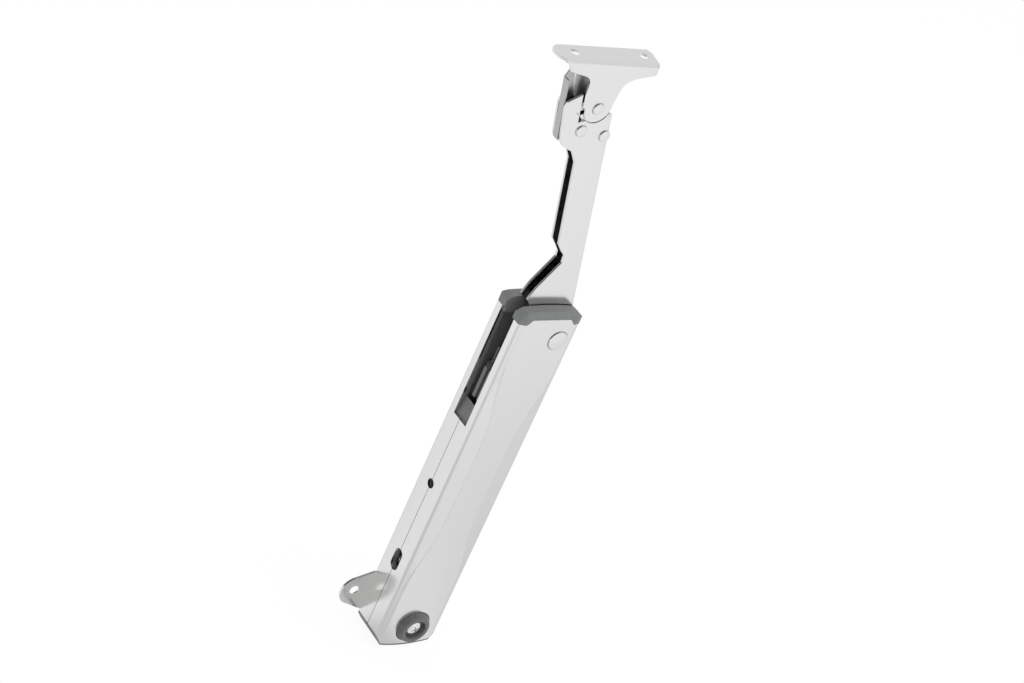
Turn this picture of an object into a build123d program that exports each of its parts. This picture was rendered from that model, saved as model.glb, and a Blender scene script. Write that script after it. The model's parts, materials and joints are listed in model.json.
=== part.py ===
from build123d import *
import os
from math import cos, degrees, hypot, radians, sin

# Lid stay with a cam-driven spring, an oil damper and a screw that sets the force.
#
# X runs across the wide faces, and the arm closes towards -X. Y runs through the thickness,
# with the front face at -Y. Z runs along the housing. Everything is drawn about the housing's
# middle plane, with Z = 0 at the lower ends of its narrow sides, and the finished pieces are
# moved together so that the flat back face lies in the plane Y = 0. Millimetres.

# ------------------------------------------------------------------ housing, driving sizes
body_width = 33.0            # across the wide faces
body_depth = 19.0            # front panel to back face
shoulder_z = 175.2           # shells' top edge at the corners
crown_rise = 2.6             # the wide faces reach this much higher in the middle
crown_inset = 6.5            # the crown ends this far from the narrow sides
crown_slope = 2.5            # width of the slope beside the crown
chin_cut = 3.2               # width of the cut bottom corners
chin_drop = 4.2              # height of the cut corners
chin_sag = 1.3               # the bottom edge bows down by this much more
sheet = 1.1                  # shells' steel
fold_radius = 1.6            # rounded folds beside the narrow sides
seam = 0.24                  # between the two shells
seat_gap = 0.1               # between a shell and the moulding in it

# raised panel of the front face, drawn in at the waist
relief = 0.6
panel_inset = 3.2
waist_ratio = 0.45           # waist's half-width over the housing's
waist_low = 28.0
waist_drop = 23.2            # the waist ends this far under the shoulders

# openings of the narrow side
slot_half = 5.0
slot_length = 57.5           # arm's slot, from the shoulders to its square lower end
seam_hole_r = 2.25
seam_hole_z = 82.0
adjust_hole_half = 2.8       # oval adjusting hole
adjust_hole_length = 11.2
adjust_hole_rise = 1.7       # middle of the hole above the adjusting screw

# fixing lug of the rear shell
lug_reach = 7.4              # lug's centre from the narrow side
lug_z = 12.6
lug_radius = 7.5
lug_root_low = 1.0
lug_root_high = 23.0
lug_hole_r = 2.3
lug_sink_r = 4.8
lug_sink_depth = 0.5

# ------------------------------------------------------------------ mouldings
wall_side = 1.9              # beside the narrow sides
wall_face = 0.8              # beside the wide faces
cavity_foot = 5.3            # cavity's lower end under the adjusting screw
cavity_top_wall = 2.6        # cavity's upper end under the shoulders
window_rise = 8.8            # the slot's moulded sill slopes up by this much
rim = 0.8                    # lower rim that shows under the shells
cap_rise = 5.4               # cap above the shoulders, at its flat corners
cap_arch = 0.7
cap_corner = 3.0             # cut corners of the cap
cap_corner_drop = 2.1
cap_bevel = 1.3
cap_bevel_high = 2.1
parting = 0.05               # each moulding stops short of the middle by this
boss_radius = 6.0
cradle_width = 3.0

# ------------------------------------------------------------------ arm
pivot_inset = 8.9            # pivot's axis from the narrow side away from the slot
pivot_drop = 8.33            # and under the shoulders
arm_length = 114.8           # pivot to bracket pin, along the arm
arm_lean = 15.0              # degrees towards -X, with the stay open
arm_travel = 115.0           # degrees from open to closed
arm_half = 3.0               # half of the channel's width
arm_sheet = 1.1
arm_fold = 0.9               # outer radius of the channel's folds
knuckle_r = 7.4
arm_edge = 9.8               # web side of the channel
neck_edge = -4.4             # open side of the neck
head_edge = -14.4            # open side of the head
head_split = -6.6            # slit between the head and the bracket's tongue
split_notch_r = 1.6
web_low = 10.0
arm_top_drop = 4.8           # channel's end under the bracket pin
head_rise = 6.4              # head's shoulder over the bracket pin
peak_rise = 8.5              # head's tip over the bracket pin
notch_rise = 0.5             # slit's lower end over the bracket pin
# edge from the neck to the knuckle: across and along the arm, from the pivot
hook_profile = [(-0.4, 40.4), (-0.7, 37.3), (-11.3, 26.4), (-14.8, 21.4), (-12.8, 17.5)]
neck_low = 48.0
# edge from the head to the neck: across the arm, and below the bracket pin
jaw_profile = [(-12.2, 14.8), (-9.4, 17.2), (-6.75, 19.1)]
neck_drop = 25.3
pin_r = 2.6
bracket_pin_across = 1.8
clip_pin_across = -4.4
clip_pin_drop = 9.3
web_pin_across = 7.5
web_pin_drop = 14.5
pin_chamfer = 0.15
spacer_r = 4.2
rivet_r = 3.0                # pivot rivet's shank
rivet_head_r = 4.7
rivet_head_clear = 0.2
sleeve_r = 4.2
washer_r = 6.4
arm_slot_half = 3.5          # room for the arm between the two mouldings
run = 0.05                   # radial clearance of a running fit
fit = 0.02                   # radial clearance of a fixed pin

# ------------------------------------------------------------------ cam and carriage
roller_r = 4.0
roller_half = 1.65
axle_r = 1.25
cam_low = 5.75               # cam's radius with the stay open
cam_lift = 0.05              # mm of carriage travel for each degree of the arm
cam_lead = 10.0              # degrees of cam before the open position
cam_trail = 8.0              # degrees of cam past the closed position
cam_half = 1.8
cam_tab_high = 17.0          # tab with the two rivets
cam_tab_left = -7.4
cam_tab_right = 6.4
cam_rivet_r = 1.4
cam_rivet_s = 13.5
cam_rivets_across = (-4.2, 3.2)
carriage_drop = 27.07        # carriage's foot under the roller's axis
deck_drop = 12.57            # carriage's deck under the roller's axis
carriage_play = 0.25
cheek_in = 3.3
cheek_out = 4.7
cheek_r = 3.0
cheek_foot = 4.0             # the fork widens by this much on the slot's side
bar_in = 0.9
bar_out = 2.8
bar_reach = 3.2
nose_r = 3.6
nose_high = 4.0

# ------------------------------------------------------------------ damper
damper_ratio = 0.33          # tube's radius over the cavity's half-width
damper_foot = 25.5           # tube's lower end above the adjusting screw
damper_neck = 12.0           # tube's upper end under the carriage
damper_wall = 1.1
damper_cap_high = 3.6
damper_cap_spigot = 4.0
rod_r = 1.5
piston_high = 6.0
piston_at = 0.4              # piston's place along the tube, with the stay open
rod_socket = 6.0
shelf = 6.0

# ------------------------------------------------------------------ spring and adjuster
spring_ratio = 0.44          # coil's radius over the cavity's half-width
spring_clear = 0.4           # coil to the cavity's wall
spring_wire = 1.9            # flat wire: across and along the spring
spring_flat = 2.6
spring_turns = 10
rib_ratio = 0.18             # partition's thickness over the cavity's half-width
rib_clear = 0.6
adjust_z = 36.5
screw_r = 2.0
screw_head_r = 3.0
screw_head = 2.3
wedge_slope = 0.35
wedge_left = 4.9             # wedge's ends beside the spring's axis
wedge_right = 4.3
wedge_side_play = 1.9
wedge_rise = 7.5             # middle of the wedge's slope above the screw
seat_rise = 15.5             # spring's seat above the screw
seat_side_play = 1.4
slide_play = 0.2
bearing_web = 2.4
ring_thick = 0.8

# ------------------------------------------------------------------ fixing at the bottom
fixing_x = 1.0
fixing_z = 4.5
bush_r = 8.3
bush_tip_r = 7.3
bush_proud = 3.0
bush_barrel_r = 6.0
bush_recess_r = 5.2
bush_recess = 2.3
bush_hole_clear = 0.3
fix_screw_r = 2.1
fix_head_r = 3.5
fix_head = 1.9

# ------------------------------------------------------------------ bracket and release clip
flange_rise = 21.276         # face that meets the lid, over the bracket pin
flange_thick = 1.1
flange_reach_left = 27.826   # flange's ends beside the bracket pin
flange_reach_right = 23.874
flange_back = 9.0
tongue_thick = 1.0
tongue_r = 6.4
bend_r = 1.6
bracket_hole_r = 2.1
bracket_pitch = 35.0
bracket_holes_off = 0.274    # middle of the two holes beside the bracket pin
bracket_holes_y = 3.8
# tongue's edges under the flange: beside the flange's end or the pin, and below the flange
tab_left = [(4.2, 1.6), (6.3, 5.0), (14.1, 6.7)]
tab_right = [(-2.1, 4.8), (-0.7, 2.4)]
neck_left = [(-10.0, 9.1), (-9.3, 14.6)]
neck_right = [(7.2, 13.0), (10.0, 8.2), (14.4, 6.5)]
clip_out = 1.7
clip_sheet = 0.7
clip_left = -14.3
clip_drop = 12.3             # clip's lower end under the bracket pin
clip_rise = 19.2             # its upper end over the bracket pin
clip_front_rise = 4.2        # its front cheek's end over the bracket pin
clip_cheek = 5.6
clip_eye_r = 4.4
clip_wire = 0.4
clip_coil_pitch = 0.6
clip_coil_turns = 2.5

# ------------------------------------------------------------------ worked-out places
half_width = body_width / 2
half_depth = body_depth / 2
over = 1.0                   # cutters overshoot by this

crown_half = half_width - crown_inset
chin_half = half_width - chin_cut
crown_z = shoulder_z + crown_rise
cap_z = shoulder_z + cap_rise
panel_half = half_width - panel_inset
waist_half = waist_ratio * half_width
waist_high = shoulder_z - waist_drop
waist_mid = (waist_low + waist_high) / 2
slot_z = shoulder_z - slot_length
adjust_hole_low = adjust_z + adjust_hole_rise - adjust_hole_length / 2
adjust_hole_high = adjust_hole_low + adjust_hole_length
lug_x = -half_width - lug_reach
front_core_y = half_depth - relief - sheet - seat_gap
back_core_y = half_depth - sheet - seat_gap

cavity_half_x = half_width - sheet - seat_gap - wall_side
cavity_half_y = front_core_y - wall_face
cavity_low = adjust_z - cavity_foot
cavity_high = shoulder_z - cavity_top_wall

pivot_x = half_width - pivot_inset
pivot_z = shoulder_z - pivot_drop
plate_in = arm_half - arm_sheet
arm_top = arm_length - arm_top_drop
head_top = arm_length + head_rise
head_peak = arm_length + peak_rise
split_low = arm_length + notch_rise
bracket_pin_at = (bracket_pin_across, arm_length)
clip_pin_at = (clip_pin_across, arm_length - clip_pin_drop)
web_pin_at = (web_pin_across, arm_length - web_pin_drop)
clip_low = arm_length - clip_drop
clip_high = arm_length + clip_rise
clip_front_end = arm_length + clip_front_rise

roller_z = pivot_z - cam_low - run - roller_r
carriage_low = roller_z - carriage_drop
carriage_deck = roller_z - deck_drop
cam_rivets_at = [(t, cam_rivet_s) for t in cam_rivets_across]

spring_r = spring_ratio * cavity_half_x
spring_x = cavity_half_x - spring_clear - spring_r
rib_x1 = spring_x - spring_r - rib_clear
rib_x0 = rib_x1 - rib_ratio * cavity_half_x
damper_r = damper_ratio * cavity_half_x
damper_x = rib_x0 - 0.3 - damper_r
damper_low = adjust_z + damper_foot
damper_high = carriage_low - damper_neck
piston_low = damper_low + piston_at * (damper_high - damper_low)
wedge_top = adjust_z + wedge_rise
wedge_from = spring_x - wedge_left
wedge_to = spring_x + wedge_right
wedge_half = cavity_half_y - wedge_side_play
seat_top = adjust_z + seat_rise
seat_half = cavity_half_y - seat_side_play


# ------------------------------------------------------------------ helpers
def block(x0, x1, y0, y1, z0, z1):
    """Box between two corners."""
    return Pos((x0 + x1) / 2, (y0 + y1) / 2, (z0 + z1) / 2) * Box(x1 - x0, y1 - y0, z1 - z0)


def rod_x(radius, y, z, x0, x1):
    return Pos((x0 + x1) / 2, y, z) * Rot(0, 90, 0) * Cylinder(radius, x1 - x0)


def rod_y(radius, x, z, y0, y1):
    return Pos(x, (y0 + y1) / 2, z) * Rot(90, 0, 0) * Cylinder(radius, y1 - y0)


def rod_z(radius, x, y, z0, z1):
    return Pos(x, y, (z0 + z1) / 2) * Cylinder(radius, z1 - z0)


def prism(face, y0, y1):
    """Extrude a face, drawn as (x, z), from y0 to y1."""
    return Pos(0, y1, 0) * extrude(Plane.XZ * face, y1 - y0, dir=(0, -1, 0))


def polygon(*points):
    return make_face(Polyline(*points, close=True))


def disc(radius, at):
    return Pos(*at) * Circle(radius)


def rect(x0, x1, z0, z1):
    return Pos((x0 + x1) / 2, (z0 + z1) / 2) * Rectangle(x1 - x0, z1 - z0)


def mirror_y(shape):
    return mirror(shape, about=Plane.XZ)


def on_arm(shape):
    """Place what was drawn with the arm upright and its pivot at the origin."""
    return Pos(pivot_x, 0, pivot_z) * Rot(0, -arm_lean, 0) * shape


def arm_point(t, s):
    """World (x, z) of a point t across and s along the arm."""
    lean = radians(arm_lean)
    return (pivot_x + t * cos(lean) - s * sin(lean), pivot_z + t * sin(lean) + s * cos(lean))


# ------------------------------------------------------------------ casing forms
def bottom_edge(grow):
    """Cut corners and bowed bottom edge, moved down by grow, from left to right."""
    left = Polyline((-half_width, -grow), (-chin_half, -chin_drop - grow))
    bow = ThreePointArc((-chin_half, -chin_drop - grow), (0, -chin_drop - chin_sag - grow),
                        (chin_half, -chin_drop - grow))
    right = Polyline((chin_half, -chin_drop - grow), (half_width, -grow))
    return [left, bow, right]


def shell_outline(grow):
    """Front view of the shells, with the bottom and the top edge moved out by grow."""
    slope_x = crown_half + crown_slope
    top = Polyline((half_width, -grow), (half_width, shoulder_z + grow),
                   (slope_x, shoulder_z + grow), (crown_half, crown_z + grow),
                   (-crown_half, crown_z + grow), (-slope_x, shoulder_z + grow),
                   (-half_width, shoulder_z + grow), (-half_width, -grow))
    return make_face(bottom_edge(grow) + [top])


def moulding_outline():
    """Front view of the whole housing with the mouldings' cap and rim."""
    corner_x = half_width - cap_corner
    corner_z = cap_z - cap_corner_drop
    right = Polyline((half_width, -rim), (half_width, corner_z), (corner_x, cap_z))
    arch = ThreePointArc((corner_x, cap_z), (0, cap_z + cap_arch), (-corner_x, cap_z))
    left = Polyline((-corner_x, cap_z), (-half_width, corner_z), (-half_width, -rim))
    return make_face(bottom_edge(rim) + [right, arch, left])


def waist_side(sign):
    """One edge of the raised panel, straight up at both ends and drawn in between."""
    near_x = sign * (waist_half + 0.31 * (panel_half - waist_half))
    return Spline((sign * panel_half, waist_low),
                  (near_x, waist_low + 0.42 * (waist_mid - waist_low)),
                  (sign * waist_half, waist_mid),
                  (near_x, waist_high - 0.42 * (waist_high - waist_mid)),
                  (sign * panel_half, waist_high), tangents=[(0, 1), (0, 1)])


def raised_panel(face_y, low, high):
    """What stands on the land: a panel whose long edges slope down to the folds."""
    land = half_width - fold_radius
    land_y = face_y - relief
    ends = make_face(Polyline((-land, -land_y), (-panel_half, -face_y), (panel_half, -face_y),
                              (land, -land_y), close=True))
    panel = Pos(0, 0, low) * extrude(ends, waist_low - low, dir=(0, 0, 1))
    panel += Pos(0, 0, waist_high) * extrude(ends, high - waist_high, dir=(0, 0, 1))
    top = Line((-panel_half, waist_high), (panel_half, waist_high))
    bottom = Line((-panel_half, waist_low), (panel_half, waist_low))
    drawn_in = make_face([waist_side(1), top, waist_side(-1), bottom])
    base = rect(-land, land, waist_low, waist_high)
    waist = loft([Plane.XZ.offset(face_y) * drawn_in, Plane.XZ.offset(land_y) * base], ruled=True)
    return panel + waist


def casing_blank(side_inset, face_inset, relieved):
    """Solid that fills the front half of the casing out to its walls, moved in by the insets."""
    low = -chin_drop - chin_sag - rim - over
    high = cap_z + cap_arch + over
    wide = half_width - side_inset
    face_y = half_depth - face_inset
    land_y = face_y - relief if relieved else face_y
    section = Pos(0, -land_y / 2) * Rectangle(2 * wide, land_y)
    corner = max(fold_radius - side_inset, 0.3)
    section = fillet(section.vertices().group_by(Axis.Y)[0], corner)
    blank = Pos(0, 0, low) * extrude(section, high - low, dir=(0, 0, 1))
    if relieved:
        blank += raised_panel(face_y, low, high)
    return blank


def side_openings():
    """Cutters for the narrow side of a shell: slot, seam hole and oval hole."""
    x0 = -half_width - over
    x1 = -half_width + sheet + over
    slot = block(x0, x1, -slot_half, slot_half, slot_z, crown_z + over)
    hole = rod_x(seam_hole_r, 0, seam_hole_z, x0, x1)
    return [slot, hole, adjusting_hole(x0, x1)]


def adjusting_hole(x0, x1):
    low = adjust_hole_low + adjust_hole_half
    high = adjust_hole_high - adjust_hole_half
    hole = block(x0, x1, -adjust_hole_half, adjust_hole_half, low, high)
    for z in (low, high):
        hole += rod_x(adjust_hole_half, 0, z, x0, x1)
    return hole


def shell_half(relieved):
    blank = casing_blank(0, 0, relieved)
    shell = blank - casing_blank(sheet, sheet, relieved)
    shell &= prism(shell_outline(0), -half_depth - over, -seam / 2)
    for cutter in side_openings():
        shell -= cutter
    return shell


def front_shell():
    shell = shell_half(True)
    shell -= rod_y(rivet_head_r + rivet_head_clear, pivot_x, pivot_z, -half_depth - over, 0)
    shell -= rod_y(bush_r + bush_hole_clear, fixing_x, fixing_z, -half_depth - over, 0)
    return shell


def rear_shell():
    shell = mirror_y(shell_half(False))
    back = half_depth + over
    shell -= rod_y(rivet_head_r + rivet_head_clear, pivot_x, pivot_z, 0, back)
    shell -= rod_y(fix_screw_r + 0.2, fixing_x, fixing_z, 0, back)
    # the lug is the back wall drawn out sideways, past the fold
    inside = -half_width + fold_radius + over
    root = [(inside, lug_root_low), (-half_width, lug_root_low), (-half_width, lug_root_high),
            (inside, lug_root_high)]
    edges = polygon(*root).edges() + disc(lug_radius, (lug_x, lug_z)).edges()
    lug = prism(make_hull(edges), half_depth - sheet, half_depth)
    lug -= rod_y(lug_hole_r, lug_x, lug_z, 0, back)
    cone = Cone(lug_sink_r, lug_hole_r, lug_sink_depth)
    lug -= Pos(lug_x, half_depth - sheet + lug_sink_depth / 2, lug_z) * Rot(-90, 0, 0) * cone
    return shell + lug


# ------------------------------------------------------------------ mouldings
def bevel_zone():
    """Side view of the cap's bevelled front edge, run along X."""
    low = -chin_drop - chin_sag - rim - over
    top = cap_z + cap_arch
    side = Polyline((-half_depth, low), (-half_depth, top - cap_bevel_high),
                    (-half_depth + cap_bevel, top), (0, top), (0, low), close=True)
    section = Plane.YZ * make_face(side)
    return Pos(-half_width, 0, 0) * extrude(section, body_width, dir=(1, 0, 0))


def liner_half(relieved):
    """Front half of the mouldings: cap and rim at the full section, the rest inside the shell."""
    inner_y = front_core_y if relieved else back_core_y
    side_inset = sheet + seat_gap
    whole = moulding_outline()
    core = casing_blank(side_inset, half_depth - inner_y, False)
    core &= prism(whole, -half_depth - over, -parting)
    ends = casing_blank(0, 0, relieved)
    ends &= prism(whole - shell_outline(seat_gap), -half_depth - over, -parting)
    liner = (core + ends) & bevel_zone()
    liner -= block(-cavity_half_x, cavity_half_x, -cavity_half_y, over, cavity_low, cavity_high)
    # room for the arm: between the caps, and beside the knuckle on the closed side
    liner -= block(-half_width - over, half_width + over, -arm_slot_half, over,
                   cavity_high - over, cap_z + cap_arch + over)
    liner -= block(0, half_width - side_inset + over, -arm_slot_half, over,
                   pivot_z - knuckle_r - over, cap_z)
    # window behind the shells' slot, with a sloping sill
    outer = -half_width - over
    core_x = -half_width + side_inset
    sill = polygon((outer, slot_z), (core_x, slot_z), (-cavity_half_x, slot_z + window_rise),
                   (-cavity_half_x + over, slot_z + window_rise + over),
                   (-cavity_half_x + over, cavity_high), (outer, cavity_high))
    liner -= prism(sill, -slot_half, over)
    liner += liner_ribs()
    liner += rod_y(boss_radius, pivot_x, pivot_z, -cavity_half_y - 0.5, -arm_slot_half)
    liner -= rod_y(rivet_r + fit, pivot_x, pivot_z, -half_depth - over, over)
    liner -= rod_y(bush_barrel_r + run, fixing_x, fixing_z, -half_depth - over, over)
    liner -= rod_x(seam_hole_r, 0, seam_hole_z, -half_width, -cavity_half_x + over)
    liner -= adjusting_hole(-half_width, -cavity_half_x + over)
    liner -= rod_x(screw_r + run, 0, adjust_z, 0, half_width - side_inset - 0.5)
    return liner


def liner_ribs():
    """Partition between spring and damper, damper's shelf and cradle, and the screw's bearing."""
    y0 = -cavity_half_y - 0.5
    y1 = -parting
    left = -cavity_half_x - 0.5
    ribs = block(rib_x0, rib_x1, y0, y1, wedge_top + 3.5, damper_high)
    ribs += block(left, rib_x0 + 0.5, y0, y1, damper_low - shelf, damper_low)
    middle = (damper_low + damper_high) / 2 + 10
    cradle = block(left, rib_x0 + 0.5, y0, y1, middle, middle + cradle_width)
    ribs += cradle - rod_z(damper_r + run, damper_x, 0, middle - over, middle + 2 * cradle_width)
    web_x = screw_web_x()
    bearing = block(web_x, web_x + bearing_web, y0, y1, cavity_low - 0.5, damper_low - shelf + 0.5)
    ribs += bearing - rod_x(screw_r + run, 0, adjust_z, web_x - over, web_x + bearing_web + over)
    return ribs


def screw_web_x():
    """Left face of the web that the adjusting screw's head bears on."""
    return -cavity_half_x + slide_play + screw_head + slide_play


def rear_liner():
    return mirror_y(liner_half(False))


# ------------------------------------------------------------------ fasteners of the housing
def pivot_rivet():
    rivet = rod_y(rivet_r, pivot_x, pivot_z, -front_core_y - over, back_core_y + over)
    rivet += rod_y(rivet_head_r, pivot_x, pivot_z, -half_depth, -front_core_y - fit)
    rivet += rod_y(rivet_head_r, pivot_x, pivot_z, back_core_y + fit, half_depth)
    return rivet


def pivot_washers():
    pair = []
    for side in (-1, 1):
        near = side * (arm_half + fit)
        far = side * (arm_slot_half - fit)
        ring = rod_y(washer_r, pivot_x, pivot_z, min(near, far), max(near, far))
        pair.append(ring - rod_y(rivet_r + run, pivot_x, pivot_z, -half_depth, half_depth))
    return Compound(pair)


def cross_recess(width, length, depth):
    """Two crossed slots that taper to the bottom, cut down from z = 0."""
    recess = None
    for turn in (0, 90):
        top = Rectangle(length, width)
        tip = Pos(0, 0, -depth) * Rectangle(0.45 * length, 0.6 * width)
        arm = Rot(0, 0, turn) * loft([top, tip])
        recess = arm if recess is None else recess + arm
    return recess


def fixing_bush():
    """Turned profile round the fixing axis, y pointing into the housing."""
    tip = -half_depth - bush_proud
    seat = -front_core_y - fit
    back = back_core_y
    recess = tip + bush_recess
    hole = fix_screw_r + run
    edge = 0.5
    profile = Polyline((bush_recess_r, tip), (bush_tip_r - edge, tip), (bush_tip_r, tip + edge),
                       (bush_r, -half_depth), (bush_r, seat), (bush_barrel_r, seat),
                       (bush_barrel_r, back), (hole, back), (hole, recess),
                       (bush_recess_r - 0.4, recess), close=True)
    turned = revolve(make_face(profile), axis=Axis.Y)
    return Pos(fixing_x, 0, fixing_z) * turned


def fixing_screw():
    """Domed cross-head screw, captive in the bush, with its tip short of the back face."""
    seat = -half_depth - bush_proud + bush_recess - fit
    crown = seat - fix_head
    edge = seat - 0.45 * fix_head
    outline = [Line((0, crown), (0, half_depth - 0.2)),
               Polyline((0, half_depth - 0.2), (fix_screw_r - 0.5, half_depth - 0.2),
                        (fix_screw_r, half_depth - 0.8), (fix_screw_r, seat),
                        (fix_head_r, seat), (fix_head_r, edge)),
               ThreePointArc((fix_head_r, edge), (0.62 * fix_head_r, crown + 0.25 * fix_head),
                             (0, crown))]
    screw = revolve(make_face(outline), axis=Axis.Y)
    recess = cross_recess(1.0, 4.0, 1.3)
    screw -= Pos(0, crown, 0) * Rot(90, 0, 0) * Rot(0, 0, 20) * recess
    return Pos(fixing_x, 0, fixing_z) * screw


# ------------------------------------------------------------------ damper
def damper_cylinder():
    tube = rod_z(damper_r, damper_x, 0, damper_low, damper_high)
    bore = damper_r - damper_wall
    return tube - rod_z(bore, damper_x, 0, damper_low + 2 * damper_wall, damper_high + over)


def damper_cap():
    bore = damper_r - damper_wall - fit
    cap = rod_z(damper_r, damper_x, 0, damper_high, damper_high + damper_cap_high)
    cap += rod_z(bore, damper_x, 0, damper_high - damper_cap_spigot, damper_high + 0.5)
    cap = chamfer(cap.edges().filter_by(GeomType.CIRCLE).group_by(Axis.Z)[-1], 0.5)
    return cap - rod_z(rod_r + run, damper_x, 0, damper_high - 2 * damper_cap_spigot,
                       damper_high + 2 * damper_cap_high)


def damper_rod():
    piston_r = damper_r - damper_wall - run
    rod = rod_z(rod_r, damper_x, 0, piston_low, carriage_low + rod_socket)
    return rod + rod_z(piston_r, damper_x, 0, piston_low, piston_low + piston_high)


# ------------------------------------------------------------------ spring
def flat_coil(mean_r, height, turns, section_r, section_h):
    """Helix of flat wire that rises from z = 0, with its section square to the axis."""
    path = Helix(height / turns, height, mean_r)
    section = Plane.XZ * (Pos(mean_r, 0) * Rectangle(section_r, section_h))
    return sweep(section, path=path, is_frenet=True)


def main_spring():
    """Open coil of flat wire between the seat and the carriage."""
    low = seat_top + spring_flat / 2 + fit
    high = carriage_low - spring_flat / 2 - fit
    coil = flat_coil(spring_r - spring_wire / 2, high - low, spring_turns, spring_wire, spring_flat)
    return Pos(spring_x, 0, low) * coil


# ------------------------------------------------------------------ adjuster
def adjust_screw():
    head_x = -cavity_half_x + slide_play
    end_x = half_width - sheet - seat_gap - 0.8
    screw = rod_x(screw_head_r, 0, adjust_z, head_x, head_x + screw_head)
    screw = chamfer(screw.edges().filter_by(GeomType.CIRCLE).group_by(Axis.X)[0], 0.5)
    screw += rod_x(screw_r, 0, adjust_z, head_x + 0.5, end_x)
    recess = cross_recess(0.9, 3.6, 1.3)
    screw -= Pos(head_x, 0, adjust_z) * Rot(0, -90, 0) * Rot(0, 0, 10) * recess
    return screw


def adjust_ring():
    """Retaining ring behind the bearing web."""
    x0 = screw_web_x() + bearing_web + slide_play
    ring = rod_x(1.6 * screw_r, 0, adjust_z, x0, x0 + ring_thick)
    return ring - rod_x(screw_r + fit, 0, adjust_z, x0 - over, x0 + ring_thick + over)


def wedge_z(x):
    """Height of the wedge's slope at x."""
    return wedge_top - wedge_slope * (x - (wedge_from + wedge_to) / 2)


def wedge_nut():
    low = cavity_low + slide_play
    side = polygon((wedge_from, low), (wedge_to, low), (wedge_to, wedge_z(wedge_to)),
                   (wedge_from, wedge_z(wedge_from)))
    nut = prism(side, -wedge_half, wedge_half)
    return nut - rod_x(screw_r + run, 0, adjust_z, wedge_from - over, wedge_to + over)


def spring_seat():
    x0 = spring_x - spring_r - 0.4
    x1 = cavity_half_x - slide_play
    lift = 0.1
    side = polygon((x0, wedge_z(x0) + lift), (x1, wedge_z(x1) + lift), (x1, seat_top),
                   (x0, seat_top))
    seat = prism(side, -seat_half, seat_half)
    return seat + rod_z(nose_r, spring_x, 0, seat_top - 0.5, seat_top + nose_high)


# ------------------------------------------------------------------ carriage
def carriage():
    """Sliding fork: a deck on the spring, two cheeks round the roller and two bars at the slot."""
    right = cavity_half_x - carriage_play
    left = -cavity_half_x + carriage_play
    wide_y = cavity_half_y - carriage_play
    deck_left = left + bar_reach
    body = block(deck_left, right, -wide_y, wide_y, carriage_low, carriage_deck)
    body = fillet(body.edges().filter_by(Axis.Z), 1.0)
    top = roller_z + cheek_r
    shape = polygon((deck_left + 1, carriage_deck - 1), (right, carriage_deck - 1),
                    (right, carriage_deck + 2), (pivot_x + cheek_r + 1.2, roller_z),
                    (pivot_x + cheek_r, top), (pivot_x - cheek_r, top),
                    (pivot_x - cheek_r - cheek_foot, carriage_deck + cheek_foot), (deck_left + 1, carriage_deck + 9))
    for side in (-1, 1):
        cheek = prism(shape, cheek_in, cheek_out)
        bar = block(left, deck_left + 1.5, bar_in, bar_out, carriage_low - 1, carriage_deck)
        for piece in (cheek, bar):
            body += piece if side > 0 else mirror_y(piece)
    body += rod_z(nose_r, spring_x, 0, carriage_low - nose_high, carriage_low + 0.5)
    body -= rod_z(rod_r + fit, damper_x, 0, carriage_low - over, carriage_low + rod_socket)
    body -= rod_y(axle_r + fit, pivot_x, roller_z, -half_depth, half_depth)
    return body


def roller():
    body = rod_y(roller_r, pivot_x, roller_z, -roller_half, roller_half)
    body = chamfer(body.edges().filter_by(GeomType.CIRCLE), 0.3)
    return body - rod_y(axle_r + run, pivot_x, roller_z, -half_depth, half_depth)


def roller_axle():
    return rod_y(axle_r, pivot_x, roller_z, -cheek_out, cheek_out)


# ------------------------------------------------------------------ arm
def arm_outline():
    """Both plates' outline, with the arm upright and the pivot at the origin."""
    jaw = [(t, arm_length - below) for t, below in jaw_profile]
    plate = polygon((arm_edge, knuckle_r + 1.6), (arm_edge, arm_top), (head_split, arm_top),
                    (head_split, head_peak), (head_edge + 1.0, head_top),
                    (head_edge, head_top - 2.4), (head_edge + 0.4, clip_low + 0.6), *jaw,
                    (neck_edge, arm_length - neck_drop), (neck_edge, neck_low), *hook_profile,
                    (-knuckle_r + 0.1, 1.0), (0, 0), (knuckle_r - 0.1, 0.8))
    return plate + Circle(knuckle_r)


def arm():
    """Channel of two plates and a web; the front plate is cut back round the bracket's tongue."""
    plate = arm_outline()
    pin = bracket_pin_at
    front = plate - disc(tongue_r + 0.5, pin) - disc(split_notch_r, (head_split, split_low))
    front -= rect(pin[0], arm_edge + over, arm_top, head_peak)
    rear = plate + disc(tongue_r + 0.4, pin)
    rear += polygon((head_split, head_peak), (pin[0], pin[1] + tongue_r), (pin[0], arm_top),
                    (head_split, arm_top))
    body = prism(front, -arm_half, -plate_in) + prism(rear, plate_in, arm_half)
    web = rect(arm_edge - arm_sheet, arm_edge, web_low, arm_top)
    body += prism(web, -arm_half, arm_half)
    folds = [edge for edge in body.edges().filter_by(Axis.Z)
             if abs(edge.center().X - arm_edge) < 0.01 and edge.length > arm_top / 2]
    body = fillet(folds, arm_fold)
    body -= rod_y(sleeve_r + fit, 0, 0, -half_depth, half_depth)
    for at in (pin, clip_pin_at, web_pin_at):
        body -= rod_y(pin_r + fit, *at, -half_depth, half_depth)
    for at in cam_rivets_at:
        body -= rod_y(cam_rivet_r + fit, *at, -half_depth, half_depth)
    return on_arm(body)


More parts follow.
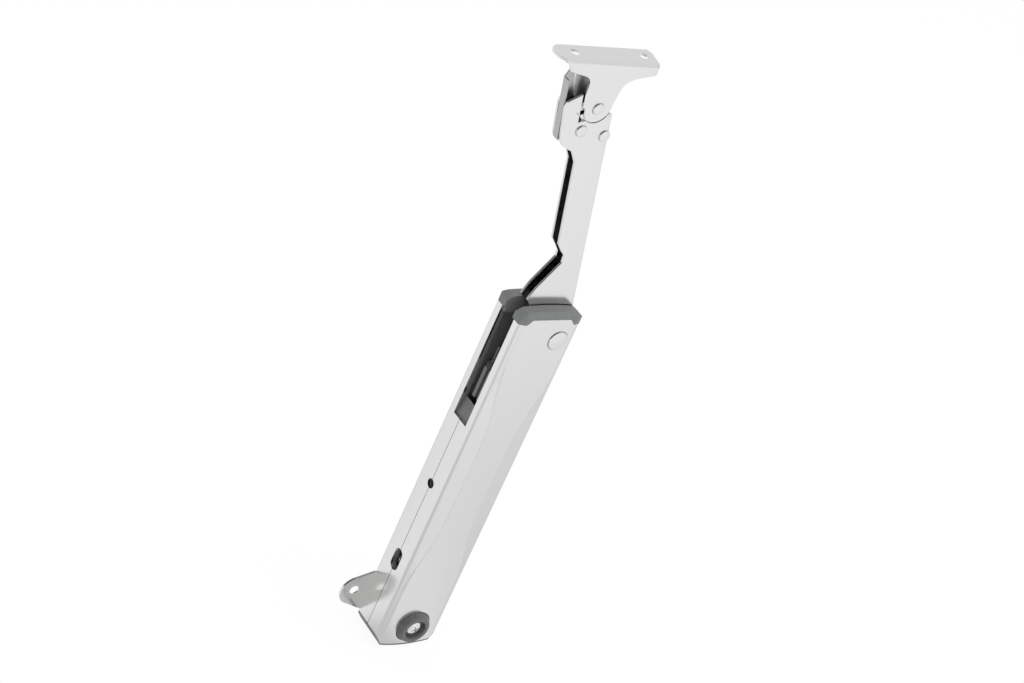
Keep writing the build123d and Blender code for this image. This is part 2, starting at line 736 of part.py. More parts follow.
def cam_plate():
    """Cam that moves the roller down in proportion to the arm's angle.

    The roller's centre draws a spiral on the arm, and the cam is that spiral moved in by the
    roller's radius, square to the curve.
    """
    growth = degrees(cam_lift)
    reach = roller_r + run

    def at(turn):
        centre = cam_low + reach + cam_lift * turn
        slant = hypot(centre, growth)
        out = centre - reach * centre / slant
        along = reach * growth / slant
        angle = radians(180 - arm_lean - turn)
        return (-out * sin(angle) + along * cos(angle), out * cos(angle) + along * sin(angle))

    steps = 6
    sweep_angle = cam_lead + arm_travel + cam_trail
    spiral = Spline([at(-cam_lead + k * sweep_angle / steps) for k in range(steps + 1)])
    heel = (cam_low, 1.0)
    tab = Polyline(at(arm_travel + cam_trail), (cam_tab_left, cam_tab_high),
                   (cam_tab_right, cam_tab_high), heel)
    back = RadiusArc(heel, at(-cam_lead), hypot(*heel))
    face = make_face([spiral, tab, back])
    body = prism(face, -cam_half, cam_half) - rod_y(sleeve_r + fit, 0, 0, -half_depth, half_depth)
    for place in cam_rivets_at:
        body -= rod_y(cam_rivet_r + fit, *place, -half_depth, half_depth)
    return on_arm(body)


def cam_rivets():
    pair = [on_arm(rod_y(cam_rivet_r, *at, -arm_half, arm_half)) for at in cam_rivets_at]
    return Compound(pair)


def pivot_sleeve():
    tube = rod_y(sleeve_r, 0, 0, -arm_half, arm_half)
    return on_arm(tube - rod_y(rivet_r + run, 0, 0, -half_depth, half_depth))


def flush_pin(at):
    """Through pin with its ends flush with the plates and a small chamfer at each."""
    pin = rod_y(pin_r, *at, -arm_half, arm_half)
    return on_arm(chamfer(pin.edges().filter_by(GeomType.CIRCLE), pin_chamfer))


def bracket_spacer():
    tube = rod_y(spacer_r, *bracket_pin_at, -plate_in + fit, plate_in - fit)
    return on_arm(tube - rod_y(pin_r + fit, *bracket_pin_at, -half_depth, half_depth))


# ------------------------------------------------------------------ bracket
def bracket():
    """L-shaped plate: a tongue on the arm's front plate, bent back to a flange with two holes."""
    px, pz = arm_point(*bracket_pin_at)
    left = px - flange_reach_left
    right = px + flange_reach_right
    front = -arm_half
    high = pz + flange_rise
    low = pz - tongue_r - over
    side = Polyline((front, low), (front, high), (flange_back, high),
                    (flange_back, high - flange_thick), (front + tongue_thick, high - flange_thick),
                    (front + tongue_thick, low), close=True)
    section = make_face(side)
    outer = section.vertices().sort_by(lambda v: hypot(v.X - front, v.Y - high))[0]
    section = fillet(outer, bend_r)
    inner = section.vertices().sort_by(
        lambda v: hypot(v.X - front - tongue_thick, v.Y - high + flange_thick))[0]
    section = fillet(inner, bend_r - tongue_thick)
    plate = Pos(left, 0, 0) * extrude(Plane.YZ * section, right - left, dir=(1, 0, 0))
    plate &= prism(tongue_outline(left, right, high), front - over, flange_back + over)
    # flange, seen from above
    lobe_r = (flange_back - front) / 2
    plan = make_face([
        Polyline((left + lobe_r, flange_back), (right - 1.0, flange_back),
                 (right, flange_back - 2.5), (right - 2.0, front), (left + lobe_r, front)),
        ThreePointArc((left + lobe_r, front), (left, front + lobe_r),
                      (left + lobe_r, flange_back))])
    plate &= Pos(0, 0, low) * extrude(plan, high + over - low, dir=(0, 0, 1))
    plate -= rod_y(pin_r + run, px, pz, front - over, plate_in)
    for side_x in (-1, 1):
        x = px + bracket_holes_off + side_x * bracket_pitch / 2
        plate -= rod_z(bracket_hole_r, x, bracket_holes_y, high - 2 * flange_thick, high + over)
    return plate


def tongue_outline(left, right, high):
    """Front view of the bracket: flange's ends, the neck's two swept edges and the round eye."""
    px, pz = arm_point(*bracket_pin_at)
    edge_low = arm_point(head_split + 1.0, split_low + 1.4)
    edge_high = arm_point(head_split + 1.0, head_peak - 0.4)
    tab_l = [(left + x, high - below) for x, below in tab_left]
    tab_r = [(right + x, high - below) for x, below in tab_right]
    neck_l = [(px + x, high - below) for x, below in neck_left]
    neck_r = [(px + x, high - below) for x, below in neck_right]
    tongue = make_face([
        Polyline((left, high + over), (left, high - bend_r), *tab_l),
        Spline(tab_l[-1], *neck_l, tangents=[(1, -0.15), (0.05, -1)]),
        Polyline(neck_l[-1], edge_high, edge_low, (px, pz), (px + tongue_r, pz + 0.7), neck_r[0]),
        Spline(*neck_r, tangents=[(0.1, 1), (1, 0.3)]),
        Polyline(neck_r[-1], *tab_r, (right, high - bend_r), (right, high + over),
                 (left, high + over))])
    return tongue + disc(tongue_r, (px, pz))


# ------------------------------------------------------------------ release clip
def release_clip():
    """Channel nested in the arm's head, turning on the clip pin."""
    web_right = clip_left + clip_sheet
    cheek_right = clip_left + clip_cheek
    strip = rect(clip_left, cheek_right, clip_low, clip_front_end)
    eye = make_hull(disc(clip_eye_r, clip_pin_at).edges()
                    + rect(clip_left, cheek_right, clip_low, clip_low + 6).edges())
    front = strip + eye
    rear = front + polygon((clip_left, clip_front_end - over), (clip_left, clip_high - 3),
                           (clip_left + 2, clip_high), (cheek_right - 1, clip_high),
                           (cheek_right, clip_front_end - over))
    body = prism(front, -clip_out, -clip_out + clip_sheet)
    body += prism(rear, clip_out - clip_sheet, clip_out)
    body += prism(rect(clip_left, web_right, clip_low, clip_high - 3), -clip_out, clip_out)
    body -= rod_y(pin_r + run, *clip_pin_at, -half_depth, half_depth)
    return on_arm(body)


def clip_spring():
    """Small coil of flat wire round the clip pin, between the clip's cheeks."""
    x, s = clip_pin_at
    height = clip_coil_pitch * clip_coil_turns
    coil = flat_coil(pin_r + run + clip_wire / 2, height, clip_coil_turns, clip_wire, clip_wire)
    return on_arm(Pos(x, height / 2, s) * Rot(90, 0, 0) * coil)


# ------------------------------------------------------------------ the nodes
nodes = {
    "front_shell": front_shell,
    "rear_shell": rear_shell,
    "front_liner": lambda: liner_half(True),
    "rear_liner": rear_liner,
    "pivot_rivet": pivot_rivet,
    "pivot_washers": pivot_washers,
    "fixing_bush": fixing_bush,
    "fixing_screw": fixing_screw,
    "damper_cylinder": damper_cylinder,
    "damper_cap": damper_cap,
    "damper_rod": damper_rod,
    "main_spring": main_spring,
    "adjust_screw": adjust_screw,
    "adjust_ring": adjust_ring,
    "wedge_nut": wedge_nut,
    "spring_seat": spring_seat,
    "carriage": carriage,
    "roller": roller,
    "roller_axle": roller_axle,
    "arm": arm,
    "cam_plate": cam_plate,
    "cam_rivets": cam_rivets,
    "pivot_sleeve": pivot_sleeve,
    "bracket_pin": lambda: flush_pin(bracket_pin_at),
    "clip_pin": lambda: flush_pin(clip_pin_at),
    "web_pin": lambda: flush_pin(web_pin_at),
    "bracket_spacer": bracket_spacer,
    "bracket": bracket,
    "release_clip": release_clip,
    "clip_spring": clip_spring,
}

os.makedirs("parts", exist_ok=True)
for name, make in nodes.items():
    export_step(Pos(0, -half_depth, 0) * make(), f"parts/{name}.step")
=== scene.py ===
# %% [markdown]
# # A lid stay, dressed
# A lid stay is a slim steel housing with a spring and an oil damper inside, and a folding arm that
# carries the lid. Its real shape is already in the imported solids, so this lesson gives them their
# finishes, softens the cut edges of the sheet metal, adds the two small signs beside the adjusting
# hole, and sets up a studio. It could be remodelled here from nothing, but a shape that is already
# right is better kept and dressed.

# %% Load the frame
import json
from math import radians

import bmesh
import bpy
import numpy as np
from mathutils import Matrix, Vector

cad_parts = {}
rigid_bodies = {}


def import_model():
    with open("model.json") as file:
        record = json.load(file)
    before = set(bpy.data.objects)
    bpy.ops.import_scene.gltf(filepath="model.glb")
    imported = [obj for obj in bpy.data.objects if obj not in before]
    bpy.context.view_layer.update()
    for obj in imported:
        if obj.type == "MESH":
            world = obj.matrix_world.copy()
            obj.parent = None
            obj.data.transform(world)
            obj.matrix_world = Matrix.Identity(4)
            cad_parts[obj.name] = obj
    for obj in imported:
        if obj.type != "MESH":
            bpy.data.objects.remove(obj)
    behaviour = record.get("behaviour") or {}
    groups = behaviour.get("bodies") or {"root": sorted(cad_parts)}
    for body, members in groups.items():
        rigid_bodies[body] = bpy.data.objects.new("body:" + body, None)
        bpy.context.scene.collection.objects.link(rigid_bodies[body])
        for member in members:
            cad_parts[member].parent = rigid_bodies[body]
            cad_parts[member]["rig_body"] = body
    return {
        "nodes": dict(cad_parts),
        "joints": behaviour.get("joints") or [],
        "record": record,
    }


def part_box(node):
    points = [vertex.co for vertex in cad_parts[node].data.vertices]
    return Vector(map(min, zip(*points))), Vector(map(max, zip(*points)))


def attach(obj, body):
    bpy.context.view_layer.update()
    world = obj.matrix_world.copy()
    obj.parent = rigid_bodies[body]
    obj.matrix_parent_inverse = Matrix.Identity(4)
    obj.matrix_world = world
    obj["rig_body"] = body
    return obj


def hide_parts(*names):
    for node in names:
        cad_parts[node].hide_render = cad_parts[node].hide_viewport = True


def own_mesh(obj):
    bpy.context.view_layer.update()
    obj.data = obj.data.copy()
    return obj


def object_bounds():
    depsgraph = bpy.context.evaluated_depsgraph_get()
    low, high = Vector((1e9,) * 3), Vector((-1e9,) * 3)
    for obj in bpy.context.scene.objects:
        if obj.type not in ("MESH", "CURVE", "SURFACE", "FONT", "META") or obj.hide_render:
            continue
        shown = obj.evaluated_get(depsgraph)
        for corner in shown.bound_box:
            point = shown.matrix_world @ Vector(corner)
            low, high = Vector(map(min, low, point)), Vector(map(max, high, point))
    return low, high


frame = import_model()
cad_box = [list(corner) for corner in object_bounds()]
print("solids' box", cad_box)

# %% [markdown]
# ## The camera
# A camera is a place and three directions. The stay is looked at from its front left, a little
# from above, with a long lens, which keeps the housing's edges nearly parallel. The directions
# are written out and squared up by cross products, which is easier to trust than three angles.

# %% Camera
eye = Vector((-0.6773, -0.6849, 0.7009))
forward = Vector((0.6121, 0.6170, -0.4946)).normalized()
right = Vector((0.7905, -0.4949, 0.3609))
right = (right - right.dot(forward) * forward).normalized()
up = right.cross(forward)
camera = bpy.data.objects.new("camera", bpy.data.cameras.new("camera"))
camera.data.lens = 91.45
camera.data.sensor_width = 36.0
camera.data.clip_start = 0.01
camera.matrix_world = Matrix.Translation(eye) @ Matrix((right, up, -forward)).transposed().to_4x4()
bpy.context.scene.collection.objects.link(camera)
bpy.context.scene.camera = camera
bpy.context.scene.view_settings.view_transform = "Standard"
print("camera", tuple(round(v, 3) for v in eye), camera.data.lens, "mm")


# %% [markdown]
# ## Writing shader maths as plain expressions
# A material is a small program drawn as nodes. Wiring each Math node by hand is slow to write and
# to read, so one class wraps a node's output and turns +, - and * into Math nodes, and one method
# adds any other node: its type, its settings, then its inputs.

# %% Values and paints
class Value:
    """One output of a node. Sums, differences and products of values add Math nodes."""

    def __init__(self, paint, socket):
        self.paint, self.socket = paint, socket

    def maths(self, operation, first, second):
        return self.paint.node("ShaderNodeMath", {"operation": operation}, {0: first, 1: second})

    def __add__(self, other):
        return self.maths("ADD", self, other)

    def __sub__(self, other):
        return self.maths("SUBTRACT", self, other)

    def __mul__(self, other):
        return self.maths("MULTIPLY", self, other)

    def __rsub__(self, other):
        return self.maths("SUBTRACT", other, self)

    __radd__ = __add__
    __rmul__ = __mul__


class Paint:
    """A node tree with its finished shader: a material, or the world."""

    def __init__(self, owner):
        owner.use_nodes = True
        self.owner, self.tree = owner, owner.node_tree
        self.tree.nodes.clear()

    def node(self, kind, settings=None, inputs=None, output=0):
        made = self.tree.nodes.new(kind)
        for key, setting in (settings or {}).items():
            setattr(made, key, setting)
        for key, value in (inputs or {}).items():
            if isinstance(value, Value):
                self.tree.links.new(value.socket, made.inputs[key])
            else:
                made.inputs[key].default_value = value
        return Value(self, made.outputs[output])

    def finish(self, shader, kind="ShaderNodeOutputMaterial"):
        end = self.tree.nodes.new(kind)
        self.tree.links.new(shader.socket, end.inputs["Surface"])
        return self.owner


# %% [markdown]
# ## Plated steel
# The shells, the arm and the bracket are pressed from sheet steel and nickel plated. Such a plate
# is bright and slightly soft: its gloss wanders a little from place to place, the rolling of the
# sheet leaves faint lines along it, and handling leaves hazy patches. One noise in large patches
# and one drawn out along the sheet give those three things, on a metal whose colour stays nearly
# even. A mirror would be simpler, but it would look like chrome.

# %% Plated metals
line_depth = 0.00002


def grained(paint, scale, detail=3.0):
    """Noise in the piece's own space, scale being its repeats per metre along x, y and z."""
    place = paint.node("ShaderNodeTexCoord", output="Object")
    stretched = paint.node("ShaderNodeMapping", inputs={"Vector": place, "Scale": scale})
    return paint.node("ShaderNodeTexNoise", inputs={"Vector": stretched, "Scale": 1.0,
                                                    "Detail": detail})


def tinted(paint, colour, low, high, mask):
    """A colour times low where the mask is 0 and times high where it is 1."""
    dark = tuple(low * c for c in colour) + (1,)
    light = tuple(high * c for c in colour) + (1,)
    return paint.node("ShaderNodeMix", {"data_type": "RGBA"},
                      {"Factor": mask, 6: dark, 7: light}, output=2)


def plated(name, colour, gloss, wander=0.06, lines=0.04, haze=0.04):
    """Metal: roughness = gloss + wander x patches, colour dimmed by haze, bump from drawn lines."""
    paint = Paint(bpy.data.materials.new(name))
    patches = grained(paint, (70, 70, 45))
    drawn = grained(paint, (2600, 2600, 90), 2.0)
    bump = paint.node("ShaderNodeBump", inputs={"Strength": lines, "Distance": line_depth,
                                                "Height": drawn})
    shader = paint.node("ShaderNodeBsdfPrincipled", inputs={
        "Base Color": tinted(paint, colour, 1 - haze, 1.0, patches),
        "Metallic": 1.0, "Roughness": gloss + wander * (patches - 0.5) * 2.0, "Normal": bump})
    return paint.finish(shader)


nickel = plated("nickel_plate", (0.80, 0.80, 0.795), 0.20)
finishes = {
    "nickel_plate": nickel,
    "bright_screw": plated("bright_zinc", (0.86, 0.87, 0.88), 0.16, 0.06, 0.03),
    "clip_steel": plated("satin_clip", (0.50, 0.50, 0.50), 0.36, 0.05, 0.06),
    "hard_steel": plated("ground_steel", (0.42, 0.42, 0.43), 0.30, 0.08, 0.12),
    "spring_steel": plated("oiled_wire", (0.26, 0.26, 0.27), 0.34, 0.08, 0.05),
    "damper_steel": plated("drawn_tube", (0.55, 0.55, 0.56), 0.28, 0.06, 0.15),
    "wedge_brass": plated("machined_brass", (0.62, 0.45, 0.20), 0.30, 0.08, 0.15),
}
print("metals", sorted(finishes))


# %% [markdown]
# ## Moulded plastic
# The cap, the rim, the bush and the sliding fork are injection moulded in grey plastic. The tool's
# spark-eroded skin gives them a fine even grain, and the glass in the plastic a slight mottle. A
# flat grey would read as paper, so the grain goes into a bump and the mottle into the colour.

# %% Moulded plastics
grain_depth = 0.00006


def moulded(name, colour, roughness, grain=0.18, mottle=0.10):
    """Plastic: fine grain as bump, a broader mottle in the colour and in the roughness."""
    paint = Paint(bpy.data.materials.new(name))
    fine = grained(paint, (5200, 5200, 5200), 2.0)
    broad = grained(paint, (300, 300, 300))
    bump = paint.node("ShaderNodeBump", inputs={"Strength": grain, "Distance": grain_depth,
                                                "Height": fine})
    shader = paint.node("ShaderNodeBsdfPrincipled", inputs={
        "Base Color": tinted(paint, colour, 1 - mottle, 1 + mottle, broad),
        "Roughness": roughness + 0.12 * (broad - 0.5), "Normal": bump})
    return paint.finish(shader)


finishes["grey_moulding"] = moulded("cap_moulding", (0.155, 0.158, 0.16), 0.45)
finishes["bush_moulding"] = moulded("bush_moulding", (0.10, 0.102, 0.105), 0.28)
finishes["slide_moulding"] = moulded("fork_moulding", (0.17, 0.173, 0.177), 0.42)
finishes["bearing_plastic"] = moulded("bearing_moulding", (0.62, 0.61, 0.57), 0.4, 0.08, 0.03)
slot_of = {row["node"]: row["material_slot"] for row in frame["record"]["subparts"]}
for node, piece in frame["nodes"].items():
    piece.data.materials.clear()
    piece.data.materials.append(finishes[slot_of[node]])
print("dressed", len(slot_of), "nodes in", len(finishes), "finishes")


# %% [markdown]
# ## Softened edges
# A blanked and plated edge is never a knife edge: it is rounded by a tenth of a millimetre or two,
# and that round catches the light as a thin bright line. The flat plates' solids are sharp there.
# Each is copied, its loose triangles are merged, and a Bevel modifier rounds every edge that turns
# by more than thirty degrees. The copy then stands for the solid. The two shells keep their own
# mesh, because it already holds the rounded folds and the crisp crease round the raised panel.

# %% Round the edges of the visible plates
merge_gap = 2e-6
flat_turn, edge_turn = radians(0.6), radians(30)
bevel_steps = 2


def smooth(mesh):
    """Shade every face of a mesh smoothly."""
    mesh.polygons.foreach_set("use_smooth", np.ones(len(mesh.polygons), bool))


def softened(node, round_mm):
    """Merged copy of a solid with its edges rounded by round_mm, standing for that solid."""
    mesh = frame["nodes"][node].data.copy()
    form = bmesh.new()
    form.from_mesh(mesh)
    bmesh.ops.remove_doubles(form, verts=form.verts, dist=merge_gap)
    bmesh.ops.dissolve_limit(form, angle_limit=flat_turn, verts=form.verts, edges=form.edges)
    form.to_mesh(mesh)
    form.free()
    if "custom_normal" in mesh.attributes:
        mesh.attributes.remove(mesh.attributes["custom_normal"])
    smooth(mesh)
    mesh.set_sharp_from_angle(angle=edge_turn)
    piece = bpy.data.objects.new(f"{node}_soft", mesh)
    bpy.context.scene.collection.objects.link(piece)
    bevel = piece.modifiers.new("edges", "BEVEL")
    bevel.width, bevel.segments = round_mm / 1000, bevel_steps
    bevel.limit_method, bevel.angle_limit = "ANGLE", edge_turn
    bevel.use_clamp_overlap, bevel.harden_normals = False, True
    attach(piece, frame["nodes"][node]["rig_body"])
    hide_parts(node)
    return piece


edge_rounds = {"arm": 0.1, "bracket": 0.1, "release_clip": 0.1}
for node, round_mm in edge_rounds.items():
    print(softened(node, round_mm).name, round_mm, "mm")


# %% [markdown]
# ## The signs beside the adjusting hole
# A plus and a minus are pressed into the narrow side, one each side of the seam, to show which way
# the screw makes the stay stronger. They are faint: strokes 0.4 mm wide that stand out
# by 0.06 mm. Each stroke is a grid bent into a low ridge that runs down into the plate all round.

# %% Press the signs
def grid_quads(index):
    """The cells of a grid: index holds the points' numbers, and each cell joins four of them."""
    cells = [index[:-1, :-1], index[1:, :-1], index[1:, 1:], index[:-1, 1:]]
    return np.stack(cells, -1).reshape(-1, 4)


def stroke(centre, along, across, length, width, height):
    """Ridge: at u along and v across, its height is height x (1-u^8) x (1-v^2), above the plate."""
    u, v = np.meshgrid(np.linspace(-1, 1, 25), np.linspace(-1, 1, 9), indexing="ij")
    along, across = np.array(along, float), np.array(across, float)
    out = np.cross(along, across)
    out = out if out[0] < 0 else -out
    rise = height * (1 - u**8) * (1 - v**2) - 0.03 * height
    points = (np.array(centre) + (u * length / 2)[..., None] * along
              + (v * width / 2)[..., None] * across + rise[..., None] * out)
    index = np.arange(u.size).reshape(u.shape)
    return points.reshape(-1, 3), grid_quads(index)


def sign(name, strokes):
    """One mesh from several strokes."""
    points, faces, count = [], [], 0
    for place, quads in strokes:
        points.append(place)
        faces.append(quads + count)
        count += len(place)
    mesh = bpy.data.meshes.new(name)
    mesh.from_pydata(np.concatenate(points).tolist(), [], np.concatenate(faces).tolist())
    smooth(mesh)
    mesh.materials.append(nickel)
    piece = bpy.data.objects.new(name, mesh)
    bpy.context.scene.collection.objects.link(piece)
    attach(piece, "housing")


side_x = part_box("front_shell")[0].x
upright, level = (0, 0, 1), (0, 1, 0)
plus_at, minus_at = (side_x, -0.0032, 0.049), (side_x, -0.0121, 0.051)
size, width, height = 0.0026, 0.0004, 0.00006
sign("plus_sign", [stroke(plus_at, upright, level, size, width, height),
                   stroke(plus_at, level, upright, size, width, height)])
sign("minus_sign", [stroke(minus_at, level, upright, size, width, height)])
print("signs at", plus_at, minus_at)

# %% [markdown]
# ## Rivet heads
# The pivot and the three pins of the arm's head are headed over: each end is pressed into a low
# button whose edge rolls down to the plate. The roll shows as a dark crescent, which a flush disc
# cannot give. A head is turned, so it is one profile carried round its axis.

# %% Turn the heads
def turned(name, profile, centre, body, sides=64):
    """Surface of revolution: at angle a and profile point (r, h) it is centre + r(cos a, 0, sin a)
    moved out of the front by h. The profile runs from the axis outwards, in millimetres."""
    angle = np.linspace(0, 2 * np.pi, sides, endpoint=False)
    radius, rise = np.array(profile, float).T[:, None, :] / 1000
    a = angle[:, None]
    ring = np.stack([radius * np.cos(a), -rise - 0 * a, radius * np.sin(a)], -1)
    points = np.array(centre) + ring
    index = np.arange(angle.size * radius.size).reshape(angle.size, radius.size)
    ahead = np.roll(index, -1, 0)
    quads = np.stack([index[:, :-1], index[:, 1:], ahead[:, 1:], ahead[:, :-1]], -1).reshape(-1, 4)
    mesh = bpy.data.meshes.new(name)
    mesh.from_pydata(points.reshape(-1, 3).tolist(), [], quads.tolist())
    form = bmesh.new()
    form.from_mesh(mesh)
    bmesh.ops.remove_doubles(form, verts=form.verts, dist=1e-7)
    bmesh.ops.recalc_face_normals(form, faces=form.faces)
    if sum((f.normal.y * f.calc_area() for f in form.faces)) > 0:
        bmesh.ops.reverse_faces(form, faces=form.faces)
    form.to_mesh(mesh)
    form.free()
    smooth(mesh)
    mesh.materials.append(nickel)
    piece = bpy.data.objects.new(name, mesh)
    bpy.context.scene.collection.objects.link(piece)
    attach(piece, body)


def front_of(node):
    """Middle of a solid's front face."""
    low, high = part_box(node)
    return ((low.x + high.x) / 2, low.y, (low.z + high.z) / 2)


pin_button = [(0, 0.75), (1.9, 0.74), (2.35, 0.68), (2.52, 0.5), (2.56, 0.1), (2.56, -0.05)]
rivet_button = [(0, 0.62), (4.0, 0.61), (4.42, 0.56), (4.6, 0.42), (4.66, 0.1), (4.66, -0.05)]
for pin in ("bracket_pin", "clip_pin", "web_pin"):
    turned(f"{pin}_head", pin_button, front_of(pin), "arm")
turned("pivot_head", rivet_button, front_of("pivot_rivet"), "housing", 96)
print("heads", 4)

# %% [markdown]
# ## The clip's back cheek
# Behind the bracket's neck the release clip runs on as a broad flat cheek, which fills the gap
# under the flange. It is one quadrilateral of thin sheet, so it is a flat grid between four
# corners, thickened by a Solidify modifier.

# %% Lay the cheek
lean = radians(15)
pivot = Vector(front_of("pivot_rivet"))


def on_arm(across, along, y):
    """Place of a point given across and along the arm, in millimetres from its pivot."""
    return (pivot.x + (across * np.cos(lean) - along * np.sin(lean)) / 1000, y,
            pivot.z + (across * np.sin(lean) + along * np.cos(lean)) / 1000)


back_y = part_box("release_clip")[1].y
corners = np.array([on_arm(-8.72, 119.5, back_y), on_arm(-0.6, 120.2, back_y),
                    on_arm(-0.6, 130.6, back_y), on_arm(-8.72, 133.9, back_y)])
u, v = np.meshgrid(np.linspace(0, 1, 9), np.linspace(0, 1, 9), indexing="ij")
u, v = u[..., None], v[..., None]
sheet = ((1 - u) * (1 - v) * corners[0] + u * (1 - v) * corners[1]
         + u * v * corners[2] + (1 - u) * v * corners[3])
quads = grid_quads(np.arange(u.size).reshape(u.shape[:2]))
mesh = bpy.data.meshes.new("clip_back_cheek")
mesh.from_pydata(sheet.reshape(-1, 3).tolist(), [], quads.tolist())
mesh.materials.append(finishes["clip_steel"])
cheek = bpy.data.objects.new("clip_back_cheek", mesh)
bpy.context.scene.collection.objects.link(cheek)
thick = cheek.modifiers.new("sheet", "SOLIDIFY")
thick.thickness, thick.offset = 0.0007, 1.0 if mesh.polygons[0].normal.y < 0 else -1.0
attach(cheek, "clip")
print("cheek", len(mesh.polygons), "quads")

# %% [markdown]
# ## The bed under the bracket's eye
# The eye of the bracket turns in a round cut-out of the arm's front plate. Behind that gap lies a
# thin bed of sheet, which shows as a bright line and closes the view into the channel. It is part
# of a ring, so it is a grid of angle and radius, and a second, wider part lies where the slit ends.

# %% Lay the bed
def ring_part(name, centre, radii_mm, start, end, y, body):
    """At angle a and share w the point is centre + r(w) (cos a, 0, sin a), with r growing from the
    inner to the outer radius."""
    a, w = np.meshgrid(np.radians(np.linspace(start, end, 73)), np.linspace(0, 1, 4), indexing="ij")
    r = (radii_mm[0] + w * (radii_mm[1] - radii_mm[0])) / 1000
    points = np.stack([centre[0] + r * np.cos(a), y + 0 * a, centre[2] + r * np.sin(a)], -1)
    quads = grid_quads(np.arange(a.size).reshape(a.shape))
    mesh = bpy.data.meshes.new(name)
    mesh.from_pydata(points.reshape(-1, 3).tolist(), [], quads.tolist())
    if mesh.polygons[0].normal.y > 0:
        mesh.flip_normals()
    mesh.materials.append(nickel)
    piece = bpy.data.objects.new(name, mesh)
    bpy.context.scene.collection.objects.link(piece)
    thick = piece.modifiers.new("sheet", "SOLIDIFY")
    thick.thickness, thick.offset = 0.0001, -1.0
    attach(piece, body)


bracket_eye = front_of("bracket_pin")
plate_depth = 0.00113
plate_back = bracket_eye[1] + plate_depth
ring_part("eye_bed", bracket_eye, (5.4, 7.7), 195, 382, plate_back, "arm")
ring_part("slit_bed", bracket_eye, (5.4, 10.6), 168, 212, plate_back, "arm")
print("bed behind", round(plate_back, 4))

# %% [markdown]
# ## The panel's crease
# The long edges of the raised panel are creased in the press. Such a crease is never quite sharp:
# the metal crowns up a few hundredths along it, and shows as a fine line. The line follows the
# crease of the solid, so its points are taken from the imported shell, and a low ridge runs along it.

# %% Run the creases
shell = frame["nodes"]["front_shell"].data
place = np.empty(len(shell.vertices) * 3, np.float32)
shell.vertices.foreach_get("co", place)
place = place.reshape(-1, 3).astype(float)
face_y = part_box("pivot_rivet")[0].y
waist_x, edge_x = 0.006, 0.0134
foot_z, top_z = 0.0279, 0.1521
half_wide, crown = 0.00022, 0.00005
bow = np.linspace(-1, 1, 7)
on_face = place[(abs(place[:, 1] - face_y) < merge_gap) & (abs(place[:, 0]) > waist_x)
                & (abs(place[:, 0]) < edge_x) & (place[:, 2] > foot_z) & (place[:, 2] < top_z)]
for side_name, side_sign in (("left", -1), ("right", 1)):
    line = on_face[on_face[:, 0] * side_sign > 0]
    _, first = np.unique(np.round(line[:, 2], 5), return_index=True)
    line = line[first]
    points = np.stack([line[:, None, 0] + bow * half_wide,
                       face_y - crown * (1 - bow**2) + 0 * line[:, :1],
                       line[:, None, 2] + 0 * bow], -1)
    quads = grid_quads(np.arange(len(line) * bow.size).reshape(-1, bow.size))
    mesh = bpy.data.meshes.new(f"crease_{side_name}")
    mesh.from_pydata(points.reshape(-1, 3).tolist(), [], quads.tolist())
    if mesh.polygons[0].normal.y > 0:
        mesh.flip_normals()
    smooth(mesh)
    mesh.materials.append(nickel)
    piece = bpy.data.objects.new(mesh.name, mesh)
    bpy.context.scene.collection.objects.link(piece)
    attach(piece, "housing")
    print(mesh.name, len(line), "points")

# %% [markdown]
# ## The spring rides on the housing
# The main spring is pressed between its fixed seat and the moving fork. A rigid copy would be
# pushed through the seat as the fork comes down, so the copy here rides on the housing, with a
# mesh of its own. It is not shortened as the fork slides.

# %% Copy the spring onto the housing
spring = bpy.data.objects.new("main_spring_soft", frame["nodes"]["main_spring"].data.copy())
bpy.context.scene.collection.objects.link(spring)
low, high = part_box("main_spring")
slide = next(j for j in frame["joints"] if j["name"] == "carriage_slide")
travel = max(slide["range_m"])
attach(spring, "housing")
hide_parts("main_spring")
1 - travel / (high.z - low.z)
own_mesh(spring)
print("spring keeps", round(1 - travel / (high.z - low.z), 4))

# %% [markdown]
# ## Floor and light
# Bright metal shows its surroundings, so the studio is the finish's other half. The surroundings
# are white to the camera. To the metal, the floor glows with painted shade: a grey that is darkest
# towards the camera, which separates one fold of the sheet from the next. The paper keeps a little
# of the shadow.

# %% Floor
floor_z = cad_box[0][2]
reach = 3.0
floor_mesh = bpy.data.meshes.new("floor")
floor_mesh.from_pydata([(-reach, -reach, floor_z), (reach, -reach, floor_z),
                        (reach, reach, floor_z), (-reach, reach, floor_z)], [], [(0, 1, 2, 3)])
floor = bpy.data.objects.new("floor", floor_mesh)
bpy.context.scene.collection.objects.link(floor)
paint = Paint(bpy.data.materials.new("floor_paper"))
seen = paint.node("ShaderNodeLightPath", output="Is Camera Ray")
mirrored = paint.node("ShaderNodeLightPath", output="Is Glossy Ray")
place = paint.node("ShaderNodeTexCoord", output="Object")
flat = paint.node("ShaderNodeVectorMath", {"operation": "MULTIPLY"}, {0: place, 1: (1, 1, 0)})
far = paint.node("ShaderNodeVectorMath", {"operation": "LENGTH"}, {0: flat}, output=1)
turn = paint.node("ShaderNodeVectorMath", {"operation": "NORMALIZE"}, {0: flat})
diagonal = 0.7071
left_right = paint.node("ShaderNodeVectorMath", {"operation": "DOT_PRODUCT"},
                        {0: turn, 1: (diagonal, diagonal, 0)}, output=1)
front_back = paint.node("ShaderNodeVectorMath", {"operation": "DOT_PRODUCT"},
                        {0: turn, 1: (-diagonal, diagonal, 0)}, output=1)


def eased(paint, value, low, high, at_low, at_high):
    """at_low below low, at_high above high, and a smooth step between."""
    return paint.node("ShaderNodeMapRange", {"interpolation_type": "SMOOTHSTEP"},
                      {"Value": value, "From Min": low, "From Max": high,
                       "To Min": at_low, "To Max": at_high})
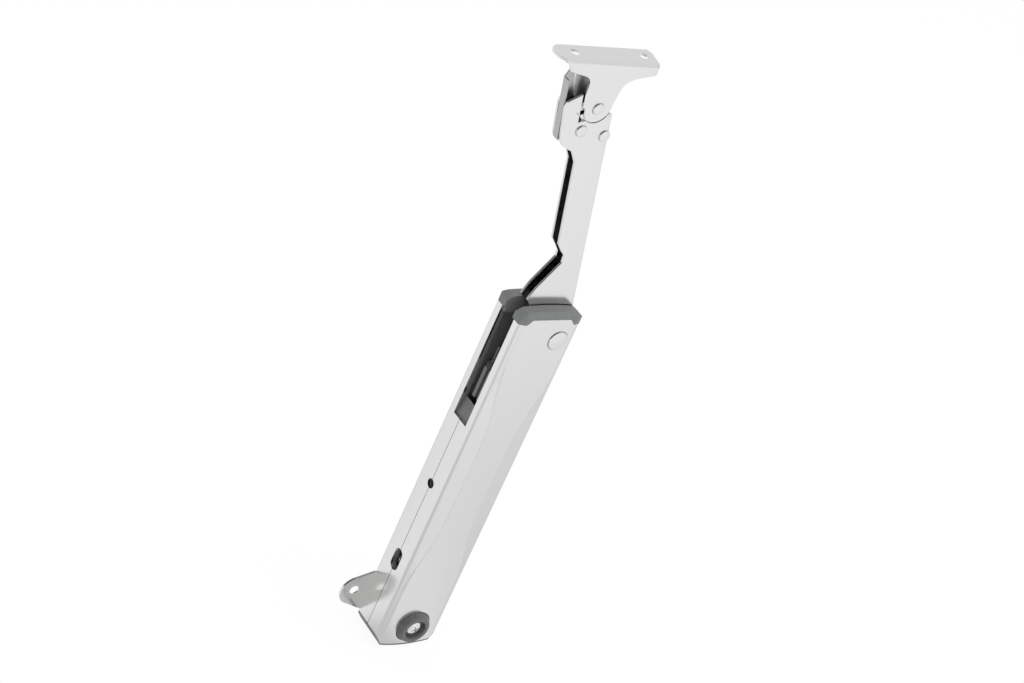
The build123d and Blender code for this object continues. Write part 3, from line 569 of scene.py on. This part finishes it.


# Painted shade: the glow the metal sees in the floor is dimmest towards the camera and brighter far
# off.
shade = (eased(paint, left_right, -0.98, -0.5, 0.72, 1.0)
         * eased(paint, left_right, -0.3, 0.3, 0.95, 0.80)
         * eased(paint, far, 0.1, 0.5, 0.96, 1.16) + 0.04 * front_back)
grey = paint.node("ShaderNodeMix", {"data_type": "RGBA"},
                  {"Factor": seen + (1 - seen) * shade, 6: (0, 0, 0, 1), 7: (1, 1, 1, 1)}, output=2)
paper = paint.node("ShaderNodeBsdfDiffuse", inputs={"Color": (0.9, 0.9, 0.9, 1)})
# The floor glows: plain white to the camera, and with the painted shade above in the metal's
# reflections.
floor_glow = paint.node("ShaderNodeEmission", inputs={"Color": grey, "Strength": 1.0})
floor_mesh.materials.append(paint.finish(paint.node(
    "ShaderNodeMixShader", inputs={0: 0.93 * (seen + mirrored), 1: paper, 2: floor_glow})))

# %% [markdown]
# ## World and lamps
# Even white all round would leave the plate without form. So the metal also sees one nearly dark
# corner, high on the left, which draws the edges of the heads. It is set for this one view, and
# under other light the heads look weaker. Two soft lamps light the plastics. They are left out of
# the metal's reflections, where they would show as white squares.

# %% World and lamps
world = bpy.data.worlds.new("studio")
bpy.context.scene.world = world
paint = Paint(world)
seen = paint.node("ShaderNodeLightPath", output="Is Camera Ray")
glossy = paint.node("ShaderNodeLightPath", output="Is Glossy Ray")
direction = paint.node("ShaderNodeTexCoord", output="Generated")
across = paint.node("ShaderNodeSeparateXYZ", inputs={0: direction})
dark_corner = paint.node("ShaderNodeVectorMath", {"operation": "DOT_PRODUCT"},
                         {0: direction, 1: (-0.62, 0.0, 0.785)}, output=1)
side = eased(paint, across, 0.2, 0.65, 1.0, 0.82) * eased(paint, dark_corner, 0.3, 0.65, 1.0, 0.15)
strength = seen + (1 - seen) * (glossy * side + (1 - glossy) * 0.8)
paint.finish(paint.node("ShaderNodeBackground", inputs={"Color": (1, 1, 1, 1),
                                                        "Strength": strength}),
             "ShaderNodeOutputWorld")


def soft_box(name, place, target, size, power):
    """Square area lamp at a place, turned to a target, and left out of the metal's reflections."""
    lamp = bpy.data.objects.new(name, bpy.data.lights.new(name, "AREA"))
    lamp.data.size, lamp.data.energy = size, power
    lamp.visible_glossy = False
    lamp.location = place
    lamp.rotation_euler = (Vector(target) - Vector(place)).to_track_quat("-Z", "Y").to_euler()
    bpy.context.scene.collection.objects.link(lamp)


middle = (-0.01, -0.01, 0.15)
soft_box("key", (0.1, -0.5, 1.9), middle, 2.0, 20.0)
soft_box("fill", (1.2, -0.9, 0.7), middle, 1.6, 5.0)
